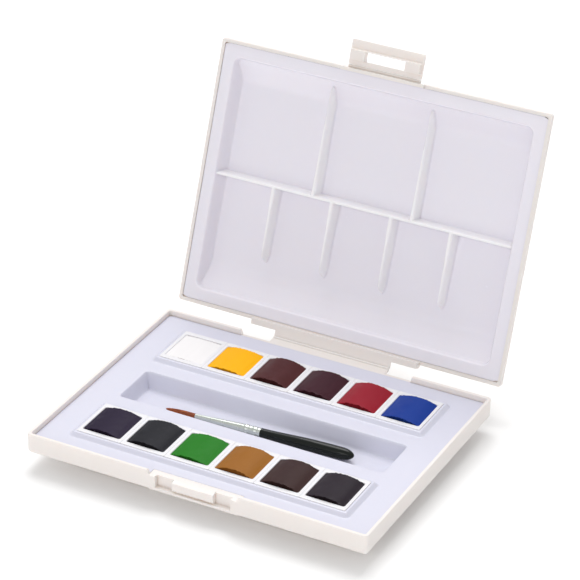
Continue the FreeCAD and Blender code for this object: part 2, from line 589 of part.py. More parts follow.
def make_brush():
    """The pocket brush: a pointed tuft, a tapered ferrule with two crimp rings, and a short handle."""
    mouth = "size.tuft_length"
    back = f"({mouth} + size.ferrule_length)"
    tuft = turned("brush_tuft", [
        ("0", "0"),
        (f"{mouth} * 0.25", "size.tuft_radius * 0.62"),
        (f"{mouth} * 0.6", "size.tuft_belly"),
        (mouth, "size.tuft_radius"),
        (f"{mouth} + size.tuft_in_ferrule", "size.tuft_radius"),
        (f"{mouth} + size.tuft_in_ferrule", "0"),
    ])
    first = FIRST_CRIMP
    second = f"{back} - size.crimp_step"
    raised = "size.ferrule_back + size.crimp_raise"
    inner = "size.ferrule_back - size.ferrule_skin"
    ferrule = turned("brush_ferrule", [
        (mouth, "size.ferrule_mouth - 0.08"),
        (mouth, "size.ferrule_mouth"),
        (f"{first}", "size.ferrule_back"),
        (f"{first} + 0.3", raised),
        (f"{first} + size.crimp_width", raised),
        (f"{first} + size.crimp_width + 0.3", "size.ferrule_back"),
        (f"{second}", "size.ferrule_back"),
        (f"{second} + 0.3", raised),
        (f"{second} + size.crimp_width", raised),
        (f"{second} + size.crimp_width + 0.3", "size.ferrule_back"),
        (back, "size.ferrule_back"),
        (back, inner),
        (f"{back} - size.handle_in_ferrule", inner),
        (f"{back} - size.handle_in_ferrule", "size.tuft_radius + 0.02"),
        (f"{mouth} + 0.3", "size.tuft_radius + 0.02"),
    ])
    end = f"{back} + size.handle_length"
    handle = turned("brush_handle", [
        (f"{back} - size.handle_in_ferrule", "0"),
        (f"{back} - size.handle_in_ferrule", f"{inner} - 0.02"),
        (f"{back}", f"{inner} - 0.02"),
        (f"{back}", "size.handle_neck"),
        (f"{back} + size.handle_length * 0.2", "size.handle_neck * 0.55 + size.handle_belly * 0.45"),
        (f"{back} + size.handle_length * 0.55", "size.handle_belly"),
        (f"{back} + size.handle_length * 0.85", "size.handle_belly * 0.95"),
        (f"{end} - 2", "size.handle_end * 1.35"),
        (f"{end} - 0.7", "size.handle_end * 0.85"),
        (end, "size.handle_end * 0.35"),
        (end, "0"),
    ])
    return [tuft, ferrule, handle]


nodes = [make_base_shell(), make_tray(), make_hinge_web(), make_lid_shell(), make_palette(),
         make_latch_web(), make_latch()]
for row_name, row_side in ROWS:
    for place, paint in enumerate(PAINTS[row_name]):
        nodes.append(make_pan(f"pan_{row_name}_{place + 1}", place, row_side))
        nodes.append(make_cake(f"paint_{paint}", place, row_side))
nodes += make_brush()
doc.recompute()

faults = [thing.Name for thing in doc.Objects if {"Invalid", "Error"} & set(thing.State)]
for node in nodes:
    node.Label = node.Name
    if node.Shape.isNull() or not node.Shape.isValid() or not node.Shape.Solids:
        faults.append(node.Name)
if faults:
    raise RuntimeError("not built: " + ", ".join(faults))

os.makedirs("parts", exist_ok=True)
for node in nodes:
    node.Shape.exportStep(f"parts/{node.Label}.step")
    print(node.Label, len(node.Shape.Solids), round(node.Shape.Volume, 1))
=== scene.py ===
"""Looks for the watercolour pan set: soft moulded inserts, pans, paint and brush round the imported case."""

import json
import logging
import math
from dataclasses import dataclass, field
from enum import Enum
from typing import Callable

import bpy
import numpy as np
from mathutils import Matrix, Vector

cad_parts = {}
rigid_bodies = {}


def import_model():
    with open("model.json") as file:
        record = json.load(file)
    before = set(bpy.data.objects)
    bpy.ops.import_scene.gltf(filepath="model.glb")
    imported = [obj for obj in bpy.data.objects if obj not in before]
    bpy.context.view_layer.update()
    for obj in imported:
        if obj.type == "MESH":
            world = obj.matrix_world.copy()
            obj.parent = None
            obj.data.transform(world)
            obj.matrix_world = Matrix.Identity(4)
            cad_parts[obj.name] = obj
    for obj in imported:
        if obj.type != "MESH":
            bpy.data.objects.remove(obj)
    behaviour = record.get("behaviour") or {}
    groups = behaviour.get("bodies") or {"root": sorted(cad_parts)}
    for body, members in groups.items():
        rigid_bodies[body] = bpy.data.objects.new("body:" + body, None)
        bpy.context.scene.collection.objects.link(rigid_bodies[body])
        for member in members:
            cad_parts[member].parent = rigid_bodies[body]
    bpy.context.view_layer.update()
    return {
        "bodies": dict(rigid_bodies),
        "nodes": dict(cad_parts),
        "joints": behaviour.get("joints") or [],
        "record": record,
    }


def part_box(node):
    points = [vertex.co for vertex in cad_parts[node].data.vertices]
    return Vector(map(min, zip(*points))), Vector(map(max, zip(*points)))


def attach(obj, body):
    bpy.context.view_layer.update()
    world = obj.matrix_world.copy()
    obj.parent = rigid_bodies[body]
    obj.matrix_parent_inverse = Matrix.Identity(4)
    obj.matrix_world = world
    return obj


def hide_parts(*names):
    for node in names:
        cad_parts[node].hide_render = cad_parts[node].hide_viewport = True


MM = 0.001
FINE_ONLY = 200.0   # a coarse step longer than any piece, so that a run adds only its fine lines
LOG = logging.getLogger("pan_set")
Height = Callable[[np.ndarray, np.ndarray], np.ndarray]
Edge = Callable[[np.ndarray], np.ndarray]


# ---------------------------------------------------------------- surfaces

@dataclass
class Surface:
    """A closed mesh in the making: points in millimetres, faces as lists of point numbers, and how far each
    point stands up on a ridge, which sets its share of painted highlight (0 to 1)."""

    points: np.ndarray
    faces: list[np.ndarray]
    ridge_highlight: np.ndarray | None = None

    def moved(self, place: Matrix) -> "Surface":
        """Turn and shift the points by a 4 x 4 matrix in millimetres.

        Args:
            place: the transform, p' = R p + t.

        Returns:
            The same faces on the moved points.
        """
        turn = np.array(place)
        return Surface(self.points @ turn[:3, :3].T + turn[:3, 3], self.faces, self.ridge_highlight)

    def joined(self, other: "Surface") -> "Surface":
        """Put another surface's points and faces after this one's."""
        shift = len(self.points)
        return Surface(np.concatenate([self.points, other.points]),
                       self.faces + [block + shift for block in other.faces])

    def to_object(self, name: str, sharp: float = 40.0) -> bpy.types.Object:
        """Write the surface into a mesh object that sits at the origin.

        Args:
            name: the object's name.
            sharp: edges that bend by more than this many degrees stay crisp.

        Returns:
            The object, linked to the scene.
        """
        mesh = bpy.data.meshes.new(name)
        loops = np.concatenate([block.ravel() for block in self.faces])
        totals = np.concatenate([np.full(len(block), block.shape[1]) for block in self.faces])
        mesh.vertices.add(len(self.points))
        mesh.vertices.foreach_set("co", (self.points * MM).astype(np.float32).ravel())
        mesh.loops.add(len(loops))
        mesh.loops.foreach_set("vertex_index", loops.astype(np.int32))
        mesh.polygons.add(len(totals))
        starts = np.concatenate([[0], np.cumsum(totals)[:-1]])
        mesh.polygons.foreach_set("loop_start", starts.astype(np.int32))
        mesh.polygons.foreach_set("loop_total", totals.astype(np.int32))
        mesh.update(calc_edges=True)
        mesh.validate()
        mesh.shade_smooth()
        mesh.set_sharp_from_angle(angle=math.radians(sharp))
        if self.ridge_highlight is not None:
            ridge_highlight = mesh.attributes.new("ridge_highlight", "FLOAT", "POINT")
            ridge_highlight.data.foreach_set("value", self.ridge_highlight.astype(np.float32))
        made = bpy.data.objects.new(name, mesh)
        bpy.context.scene.collection.objects.link(made)
        return made


def grid_quads(rows: int, columns: int, wrap: bool) -> np.ndarray:
    """Quads of a grid counted row by row: (r, c), (r, c+1), (r+1, c+1), (r+1, c).

    Args:
        rows: how many rows of points.
        columns: how many points in a row.
        wrap: whether the last column joins the first.

    Returns:
        An array of point numbers, four to a face.
    """
    row, column = np.meshgrid(np.arange(rows - 1), np.arange(columns if wrap else columns - 1), indexing="ij")
    after = (column + 1) % columns
    corners = [row * columns + column, row * columns + after,
               (row + 1) * columns + after, (row + 1) * columns + column]
    return np.stack(corners, -1).reshape(-1, 4)


def loft(rings: np.ndarray) -> Surface:
    """A solid skin through closed rings that run anticlockwise as seen from the far end.

    Args:
        rings: an array (rings, points in a ring, 3), from the first end to the far end.

    Returns:
        The skin, shut by one flat face at each end.
    """
    count, around = rings.shape[:2]
    first = np.arange(around)[::-1][None, :]
    last = (count - 1) * around + np.arange(around)[None, :]
    return Surface(rings.reshape(-1, 3), [grid_quads(count, around, True), first, last])


def rounded_rings(sizes: np.ndarray, steps: int = 7) -> np.ndarray:
    """Rounded rectangles, one for each row (half x, half y, corner radius, height).

    Corner k holds the points c + r (cos a, sin a), a from 90k to 90k + 90 degrees, and the
    straight sides are the spans from one corner to the next.

    Args:
        sizes: an array of rows of four numbers in millimetres.
        steps: points in each corner.

    Returns:
        An array (rows, 4 steps, 3).
    """
    turn = np.linspace(0, np.pi / 2, steps)
    angle = np.concatenate([turn + k * np.pi / 2 for k in range(4)])
    side_x = np.repeat([1, -1, -1, 1], steps)
    side_y = np.repeat([1, 1, -1, -1], steps)
    half_x, half_y, radius, height = (sizes[:, k, None] for k in range(4))
    x = side_x * (half_x - radius) + radius * np.cos(angle)
    y = side_y * (half_y - radius) + radius * np.sin(angle)
    return np.stack([x, y, np.broadcast_to(height, x.shape)], -1)


def turned_rings(along: np.ndarray, radius: np.ndarray, around: int, ridges: int = 0,
                 ridge: float = 0.0) -> np.ndarray:
    """Rings of a turned shape on the X axis: (s, r(s) cos a, r(s) sin a), with ridges r (1 + k cos n a).

    Args:
        along: distances s of the rings.
        radius: their radii.
        around: points in a ring.
        ridges: how many ridges n go round it.
        ridge: their height k as a share of the radius.

    Returns:
        An array (rings, around, 3).
    """
    angle = np.linspace(0, 2 * np.pi, around, endpoint=False)
    swell = 1 + ridge * np.cos(ridges * angle)
    reach = radius[:, None] * swell
    return np.stack([np.broadcast_to(along[:, None], reach.shape), reach * np.cos(angle),
                     reach * np.sin(angle)], -1)


def soft_ramp(distance: np.ndarray, start: float, end: float, soft: float) -> np.ndarray:
    """0 up to start, 1 beyond end and straight between: (q(d - start) - q(d - end)) / (end - start).

    q(x) is max(x, 0) with a parabola (x + soft)^2 / (4 soft) over its bend, so the ramp's ends are round.
    """
    def bend(x: np.ndarray) -> np.ndarray:
        """max(x, 0) with a round bend."""
        return np.where(x <= -soft, 0.0, np.where(x >= soft, x, (x + soft) ** 2 / (4 * soft)))
    return (bend(distance - start) - bend(distance - end)) / (end - start)


def smooth_least(a: np.ndarray, b: np.ndarray, blend: float) -> np.ndarray:
    """The smaller of two heights with a round join.

    It is min(a, b) - h^2 blend / 4, where h = max(1 - |a - b| / blend, 0).
    """
    near = np.maximum(1 - np.abs(a - b) / blend, 0)
    return np.minimum(a, b) - near ** 2 * blend / 4


def depth_inside(x: np.ndarray, y: np.ndarray, middle: tuple[float, float], half: tuple[float, float],
                 corner: float) -> np.ndarray:
    """Distance inside a rounded rectangle: r - |max(q, 0)| - min(max(qx, qy), 0), q = |p - c| - half + r.

    Args:
        x: where to measure, along X.
        y: where to measure, along Y.
        middle: the rectangle's centre c.
        half: its half sizes.
        corner: its corner radius r.

    Returns:
        Positive numbers inside, negative outside.
    """
    qx = np.abs(x - middle[0]) - half[0] + corner
    qy = np.abs(y - middle[1]) - half[1] + corner
    return corner - np.hypot(np.maximum(qx, 0), np.maximum(qy, 0)) - np.minimum(np.maximum(qx, qy), 0)


def waves(x: np.ndarray, y: np.ndarray, size: float, seed: int, count: int = 7) -> np.ndarray:
    """A smooth random field, the sum of plane waves cos(k . p + phase) / sqrt(count) of random headings.

    Args:
        x: where to measure, along X.
        y: where to measure, along Y.
        size: the typical wavelength in millimetres.
        seed: which field.
        count: how many waves.

    Returns:
        Values that are mostly between -1 and 1.
    """
    dice = np.random.default_rng(seed)
    heading, phase = dice.uniform(0, 2 * np.pi, (2, count))
    number = 2 * np.pi / (size * dice.uniform(0.6, 1.6, count))
    angle = (x[..., None] * np.cos(heading) + y[..., None] * np.sin(heading)) * number + phase
    return np.cos(angle).sum(-1) / math.sqrt(count)


def grid_lines(low: float, high: float, edges: list[float], reach: float, fine: float,
               coarse: float) -> np.ndarray:
    """Places of grid lines: every coarse step, and every fine step within reach of an edge."""
    runs = [np.linspace(low, high, max(2, round((high - low) / coarse) + 1))]
    runs += [edge + np.arange(-reach, reach + fine / 2, fine) for edge in edges]
    lines = np.unique(np.round(np.clip(np.concatenate(runs), low, high), 4))
    keep = np.ones(len(lines), bool)
    keep[1:-1] = np.diff(lines)[:-1] > fine * 0.45
    return lines[keep]


def merged_lines(low: float, high: float, *runs: tuple[list[float], float, float, float]) -> np.ndarray:
    """Grid lines of several runs together, each run an (edges, reach, fine, coarse) for grid_lines."""
    return np.unique(np.concatenate([grid_lines(low, high, *run) for run in runs]))


def plate(xs: np.ndarray, ys: np.ndarray, top: Height, under: Height, low: Edge, high: Edge,
          margin: float) -> Surface:
    """A closed plate between two height functions, top(x, y) and under(x, y), on one grid.

    Within margin of its front and back, the grid is stretched so that its edges follow low(x) and high(x).

    Args:
        xs: grid lines along X.
        ys: grid lines along Y.
        top: the upper face's height.
        under: the lower face's height.
        low: the front edge's Y at each X.
        high: the back edge's Y at each X.
        margin: how far in the stretch reaches.

    Returns:
        The closed surface.
    """
    x, y = np.meshgrid(xs, ys)
    front, back = ys[0] + margin, ys[-1] - margin
    y = np.where(y < front, front + (y - front) * (low(x) - front) / (ys[0] - front), y)
    y = np.where(y > back, back + (y - back) * (high(x) - back) / (ys[-1] - back), y)
    rows, columns = x.shape
    count = rows * columns
    upper = grid_quads(rows, columns, False)
    number = np.arange(count).reshape(rows, columns)
    rim = np.concatenate([number[0, :-1], number[:-1, -1], number[-1, :0:-1], number[:0:-1, 0]])
    after = np.roll(rim, -1)
    side = np.stack([rim, rim + count, after + count, after], -1)
    points = np.concatenate([np.stack([x, y, face(x, y)], -1).reshape(-1, 3) for face in (top, under)])
    return Surface(points, [upper, upper[:, ::-1] + count, side])


def round_corners(half_x: float, half_y: float, radius: float, side: int) -> Edge:
    """The front (side -1) or back (side 1) edge of a rounded rectangle.

    Its Y is side (hy - r + sqrt(r^2 - max(|x| - hx + r, 0)^2)).
    """
    def edge(x: np.ndarray) -> np.ndarray:
        """The edge's Y at each X."""
        past = np.clip(np.abs(x) - half_x + radius, 0, radius)
        return side * (half_y - radius + np.sqrt(radius ** 2 - past ** 2))
    return edge


# ---------------------------------------------------------------- finishes

def linear(hex_colour: str) -> tuple[float, float, float, float]:
    """An sRGB hex colour as linear red, green, blue and alpha."""
    parts = [int(hex_colour[n:n + 2], 16) / 255 for n in (0, 2, 4)]
    red, green, blue = (c / 12.92 if c <= 0.04045 else ((c + 0.055) / 1.055) ** 2.4 for c in parts)
    return red, green, blue, 1.0


def feed(tree: bpy.types.NodeTree, node: bpy.types.Node, inputs: dict) -> None:
    """Give a node's sockets, by name or number, each a plain value or a socket to link from."""
    for name, value in inputs.items():
        if isinstance(value, bpy.types.NodeSocket):
            tree.links.new(value, node.inputs[name])
        else:
            node.inputs[name].default_value = value


def add(tree: bpy.types.NodeTree, kind: str, settings: dict | None = None,
        inputs: dict | None = None) -> bpy.types.Node:
    """Add one shader node.

    Args:
        tree: the node tree it goes in.
        kind: the node's type, without its ShaderNode prefix.
        settings: its properties by name.
        inputs: its sockets by name or number, each a value or a socket to link from.

    Returns:
        The node.
    """
    made = tree.nodes.new("ShaderNode" + kind)
    for name, value in (settings or {}).items():
        setattr(made, name, value)
    feed(tree, made, inputs or {})
    return made


def per_metre(millimetres: float) -> float:
    """The texture scale that gives a pattern of this size."""
    return 1000.0 / millimetres


@dataclass(frozen=True)
class Finish:
    """What every finish has: a name, and the start of its material."""

    name: str

    def begin(self) -> tuple[bpy.types.Material, bpy.types.NodeTree, bpy.types.Node, bpy.types.NodeSocket]:
        """Make an empty material.

        Returns:
            The material, its tree, its main shader and its Object coordinates.
        """
        material = bpy.data.materials.new(self.name)
        material.use_nodes = True
        tree = material.node_tree
        tree.nodes.clear()
        shader = add(tree, "BsdfPrincipled")
        add(tree, "OutputMaterial", inputs={"Surface": shader.outputs["BSDF"]})
        place = add(tree, "TexCoord").outputs["Object"]
        return material, tree, shader, place


@dataclass(frozen=True)
class MouldedPlastic(Finish):
    """Injection-moulded plastic: an even body colour with barely seen flow marks, a satin skin with fine
    orange peel, painted shade in its creases, edges that handling has worn paler, and ribs made paler as a
    painted highlight."""

    colour: str
    flow: str
    wear_and_highlight: str
    crease_shade_colour: str
    roughness: float = 0.36
    ior: float = 1.5
    glow_mm: float = 0.6        # how far light spreads inside the plastic
    glow: float = 0.15
    flow_mm: float = 2.5        # size of the flow marks, which are too faint to count one by one
    rub_mm: float = 14.0        # length of a worn stretch of edge
    peel_mm: float = 0.8        # orange peel, drawn coarser than the real 0.2 mm so that it shows
    peel_depth_mm: float = 0.0006
    edge_mm: float = 0.3
    crease_shade_mm: float = 1.2      # how near a wall the painted crease shade reaches
    ridges_highlit: bool = False        # whether its ridges get a painted highlight

    def material(self) -> bpy.types.Material:
        """Build the material."""
        material, tree, shader, place = self.begin()
        flow = add(tree, "TexNoise", inputs={"Vector": place, "Scale": per_metre(self.flow_mm),
                                                       "Detail": 6.0, "Roughness": 0.75})
        body = add(tree, "Mix", {"data_type": "RGBA"},
                   {0: flow.outputs["Fac"], 6: linear(self.colour), 7: linear(self.flow)})
        soft = add(tree, "Bevel", {"samples": 6}, {"Radius": self.edge_mm * MM})
        flat = add(tree, "NewGeometry").outputs["Normal"]
        bend = add(tree, "VectorMath", {"operation": "DOT_PRODUCT"},
                   {0: soft.outputs["Normal"], 1: flat})
        rub = add(tree, "TexNoise", inputs={"Vector": place, "Scale": per_metre(self.rub_mm)})
        edge = add(tree, "MapRange", inputs={"Value": bend.outputs["Value"], "From Min": 0.99,
                                                       "From Max": 0.86, "To Max": 0.8})
        wear_and_highlight = add(tree, "Math", {"operation": "MULTIPLY"},
                   {0: edge.outputs["Result"], 1: rub.outputs["Fac"]}).outputs["Value"]
        # painted highlight: on ribbed pieces the raised part of each rib joins the edge wear and takes the
        # pale colour
        if self.ridges_highlit:
            ridge_highlight = add(tree, "Attribute", {"attribute_name": "ridge_highlight"})
            wear_and_highlight = add(tree, "Math", {"operation": "MAXIMUM"},
                       {0: wear_and_highlight, 1: ridge_highlight.outputs["Fac"]}).outputs["Value"]
        pale = add(tree, "Mix", {"data_type": "RGBA"},
                   {0: wear_and_highlight, 6: body.outputs[2], 7: linear(self.wear_and_highlight)})
        # painted shade: where ambient occlusion finds a wall near, the colour is mixed towards the darker
        # crease colour
        shut = add(tree, "AmbientOcclusion", {"samples": 8, "only_local": False},
                   {"Distance": self.crease_shade_mm * MM})
        crease_shade_mask = add(tree, "MapRange", inputs={"Value": shut.outputs["AO"], "From Min": 0.85,
                                                       "From Max": 0.35, "To Max": 0.45})
        colour = add(tree, "Mix", {"data_type": "RGBA"},
                     {0: crease_shade_mask.outputs["Result"], 6: pale.outputs[2], 7: linear(self.crease_shade_colour)})
        peel = add(tree, "TexNoise", inputs={"Vector": place, "Scale": per_metre(self.peel_mm),
                                                       "Detail": 1.0})
        bump = add(tree, "Bump", inputs={"Height": peel.outputs["Fac"], "Strength": 0.3,
                                                   "Distance": self.peel_depth_mm * MM})
        skin = add(tree, "MapRange", inputs={
            "Value": flow.outputs["Fac"], "From Min": 0.2, "From Max": 0.8,
            "To Min": self.roughness - 0.006, "To Max": self.roughness + 0.006})
        feed(tree, shader, {"Base Color": colour.outputs[2], "Roughness": skin.outputs["Result"],
                            "Normal": bump.outputs["Normal"], "IOR": self.ior,
                            "Subsurface Weight": self.glow, "Subsurface Radius": (1.0, 0.85, 0.75),
                            "Subsurface Scale": self.glow_mm * MM})
        return material


@dataclass(frozen=True)
class DriedPaint(Finish):
    """Watercolour poured and dried in a pan: dense gum-bound pigment with a soft satin skin, faint drag marks
    along the cake, and a granular face on its broken ends; wherever the surface turns steep, its colour is
    darkened and its skin made matt."""

    colour: str
    pale: str
    roughness: float = 0.4
    drag_mm: float = 2.6        # width of a drag mark; it is eight times as long
    grain_mm: float = 0.45      # pigment grain, drawn coarser than the real 0.02 mm so that it shows
    grain_depth_mm: float = 0.012

    def material(self) -> bpy.types.Material:
        """Build the material."""
        material, tree, shader, place = self.begin()
        drawn = add(tree, "Mapping", inputs={"Vector": place, "Scale": (1.0, 0.12, 1.0)})
        marks = add(tree, "TexNoise", inputs={"Vector": drawn.outputs["Vector"],
                                                        "Scale": per_metre(self.drag_mm), "Detail": 2.0})
        grain = add(tree, "TexNoise", inputs={"Vector": place, "Scale": per_metre(self.grain_mm),
                                                        "Detail": 4.0})
        # the colour is darkened and the skin made matt wherever the surface turns steep, which includes the
        # broken ends
        facing = add(tree, "SeparateXYZ", inputs={
            "Vector": add(tree, "NewGeometry").outputs["True Normal"]})
        broken = add(tree, "MapRange", inputs={"Value": facing.outputs["Z"], "From Min": 0.78,
                                                         "From Max": 0.4})
        skin = add(tree, "Mix", {"data_type": "RGBA"},
                   {0: marks.outputs["Fac"], 6: linear(self.colour), 7: linear(self.pale)})
        dark = add(tree, "Mix", {"data_type": "RGBA", "blend_type": "MULTIPLY"},
                   {0: broken.outputs["Result"], 6: skin.outputs[2], 7: (0.5, 0.44, 0.42, 1.0)})
        satin = add(tree, "MapRange", inputs={"Value": marks.outputs["Fac"], "From Min": 0.3,
                                                        "From Max": 0.7, "To Min": self.roughness - 0.04,
                                                        "To Max": self.roughness + 0.05})
        matt = add(tree, "Math", {"operation": "MAXIMUM"},
                   {0: satin.outputs["Result"], 1: broken.outputs["Result"]})
        bump = add(tree, "Bump", inputs={"Height": grain.outputs["Fac"], "Strength": 0.3,
                                                   "Distance": self.grain_depth_mm * MM})
        feed(tree, shader, {"Base Color": dark.outputs[2], "Roughness": matt.outputs["Value"],
                            "Normal": bump.outputs["Normal"], "IOR": 1.4, "Specular IOR Level": 0.15})
        return material


@dataclass(frozen=True)
class PlatedNickel(Finish):
    """Drawn brass tube plated with bright nickel: a cool silver mirror with fine lines round it."""

    colour: str = "DDE2DC"
    roughness: float = 0.26
    line_mm: float = 0.35       # drawing lines, drawn coarser than the real 0.05 mm so that they show

    def material(self) -> bpy.types.Material:
        """Build the material."""
        material, tree, shader, place = self.begin()
        squeezed = add(tree, "Mapping", inputs={"Vector": place, "Scale": (1.0, 0.05, 0.05)})
        lines = add(tree, "TexNoise", inputs={"Vector": squeezed.outputs["Vector"],
                                                        "Scale": per_metre(self.line_mm), "Detail": 3.0})
        tarnish = add(tree, "TexNoise", inputs={"Vector": place, "Scale": per_metre(4.0)})
        tone = add(tree, "Mix", {"data_type": "RGBA"},
                   {0: tarnish.outputs["Fac"], 6: linear(self.colour), 7: linear("BFC6BE")})
        rough = add(tree, "MapRange", inputs={"Value": lines.outputs["Fac"],
                                                        "To Min": self.roughness,
                                                        "To Max": self.roughness + 0.04})
        bump = add(tree, "Bump", inputs={"Height": lines.outputs["Fac"], "Strength": 0.05,
                                                   "Distance": 0.0003 * MM})
        feed(tree, shader, {"Base Color": tone.outputs[2], "Roughness": rough.outputs["Result"],
                            "Normal": bump.outputs["Normal"], "Metallic": 1.0})
        return material


@dataclass(frozen=True)
class Lacquer(Finish):
    """Birch handle dipped in black lacquer: a deep green-black body under a slightly rippled clear coat."""

    colour: str = "070B08"
    under: str = "0D140E"

    def material(self) -> bpy.types.Material:
        """Build the material."""
        material, tree, shader, place = self.begin()
        stretched = add(tree, "Mapping", inputs={"Vector": place, "Scale": (0.15, 1.0, 1.0)})
        grain = add(tree, "TexNoise", inputs={"Vector": stretched.outputs["Vector"],
                                                        "Scale": per_metre(0.8), "Detail": 3.0})
        tone = add(tree, "Mix", {"data_type": "RGBA"},
                   {0: grain.outputs["Fac"], 6: linear(self.colour), 7: linear(self.under)})
        ripple = add(tree, "Bump", inputs={"Height": grain.outputs["Fac"], "Strength": 0.15,
                                                     "Distance": 0.01 * MM})
        rough = add(tree, "MapRange", inputs={"Value": grain.outputs["Fac"], "To Min": 0.22,
                                                        "To Max": 0.34})
        feed(tree, shader, {"Base Color": tone.outputs[2], "Roughness": rough.outputs["Result"],
                            "Coat Normal": ripple.outputs["Normal"], "IOR": 1.4, "Specular IOR Level": 0.2,
                            "Coat Weight": 0.5, "Coat IOR": 1.35, "Coat Roughness": 0.08})
        return material


@dataclass(frozen=True)
class SableHair(Finish):
    """Red-brown brush hair: fine streaks along the tuft, darker in its creases, with a silky sheen."""

    colour: str = "A04808"
    dark: str = "682C04"
    light: str = "C06A1E"

    def material(self) -> bpy.types.Material:
        """Build the material."""
        material, tree, shader, place = self.begin()
        stretched = add(tree, "Mapping", inputs={"Vector": place, "Scale": (0.06, 1.0, 1.0)})
        hairs = add(tree, "TexNoise", inputs={"Vector": stretched.outputs["Vector"],
                                                        "Scale": per_metre(0.16), "Detail": 2.0})
        deep = add(tree, "MapRange", inputs={"Value": hairs.outputs["Fac"], "From Min": 0.35,
                                                       "From Max": 0.5})
        first = add(tree, "Mix", {"data_type": "RGBA"},
                    {0: deep.outputs["Result"], 6: linear(self.dark), 7: linear(self.colour)})
        bright = add(tree, "MapRange", inputs={"Value": hairs.outputs["Fac"], "From Min": 0.55,
                                                         "From Max": 0.7})
        tone = add(tree, "Mix", {"data_type": "RGBA"},
                   {0: bright.outputs["Result"], 6: first.outputs[2], 7: linear(self.light)})
        bump = add(tree, "Bump", inputs={"Height": hairs.outputs["Fac"], "Strength": 0.6,
                                                   "Distance": 0.05 * MM})
        rough = add(tree, "MapRange", inputs={"Value": hairs.outputs["Fac"], "To Min": 0.35,
                                                        "To Max": 0.6})
        feed(tree, shader, {"Base Color": tone.outputs[2], "Roughness": rough.outputs["Result"],
                            "Normal": bump.outputs["Normal"], "IOR": 1.55})
        return material


class Paint(Enum):
    """The twelve colours: each one's colour, its paler drying mark, its crown in millimetres and its node."""

    CHINESE_WHITE = ("EAE8E8", "F0EEEE", 0.35)
    WARM_YELLOW = ("F6AE00", "F9B600", 1.15)
    BURNT_SIENNA = ("451D1D", "52282A", 1.95)
    ALIZARIN = ("36141E", "421E28", 1.75)
    CRIMSON = ("8C1626", "981E2E", 1.8)
    ULTRAMARINE = ("10348A", "163C92", 1.5)
    INDIGO = ("20162C", "2A2038", 1.5)
    NEUTRAL_GREY = ("1C1C22", "26262C", 1.8)
    SAP_GREEN = ("1C7216", "267C20", 1.35)
    YELLOW_OCHRE = ("925C1C", "9C6628", 1.8)
    BURNT_UMBER = ("34201F", "3E2A28", 1.8)
    SEPIA = ("221A22", "2C242C", 1.65)

    @property
    def node(self) -> str:
        """The CAD node that holds this colour's cake."""
        return "paint_" + self.name.lower()

    @property
    def crown(self) -> float:
        """How far the middle of the cake stands above its edge."""
        return self.value[2]

    def finish(self) -> DriedPaint:
        """The colour's finish."""
        return DriedPaint("dried_watercolour_" + self.name.lower(), self.value[0], self.value[1])


class Row(Enum):
    """The two rows of pans, each with its colours from left to right."""

    BACK = ("back", (Paint.CHINESE_WHITE, Paint.WARM_YELLOW, Paint.BURNT_SIENNA, Paint.ALIZARIN,
                     Paint.CRIMSON, Paint.ULTRAMARINE))
    FRONT = ("front", (Paint.INDIGO, Paint.NEUTRAL_GREY, Paint.SAP_GREEN, Paint.YELLOW_OCHRE,
                       Paint.BURNT_UMBER, Paint.SEPIA))


# ---------------------------------------------------------------- the set's parts

def dress(piece: bpy.types.Object, material: bpy.types.Material) -> None:
    """Give a piece one material in every slot it has."""
    piece.data.materials.clear()
    piece.data.materials.append(material)


def stand_in(piece: bpy.types.Object, material: bpy.types.Material, body: str, node: str,
             slot: str) -> bpy.types.Object:
    """Let a piece stand in for a CAD node.

    Args:
        piece: the finished mesh.
        material: its material.
        body: the body it rides on.
        node: the CAD node it replaces.
        slot: not used.

    Returns:
        The same piece.
    """
    dress(piece, material)
    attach(piece, body)
    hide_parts(node)
    return piece


def millimetre_box(node: str) -> tuple[np.ndarray, np.ndarray]:
    """A CAD node's lowest and highest corner in millimetres."""
    low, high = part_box(node)
    return np.array(low) / MM, np.array(high) / MM


@dataclass
class Case:
    """The shells, which stay as the CAD has them: tub, lid, latch and the two moulded hinge lines."""

    nodes: tuple[str, ...] = ("base_shell", "lid_shell", "latch", "hinge_web", "latch_web")
    # the last colour is painted crease shade, tinted warm to stand in for light passing through the plastic
    finish: MouldedPlastic = MouldedPlastic("cream_polypropylene_moulded", "EFE9E5", "ECE5E1", "F9F6F2",
                                            "DED1C4", glow=0.35, glow_mm=1.4)

    def build(self, frame: dict) -> list[bpy.types.Object]:
        """Dress the shells.


        Returns:
            The dressed objects.
        """
        material = self.finish.material()
        shells = [frame["nodes"][name] for name in self.nodes]
        for shell in shells:
            dress(shell, material)
        return shells


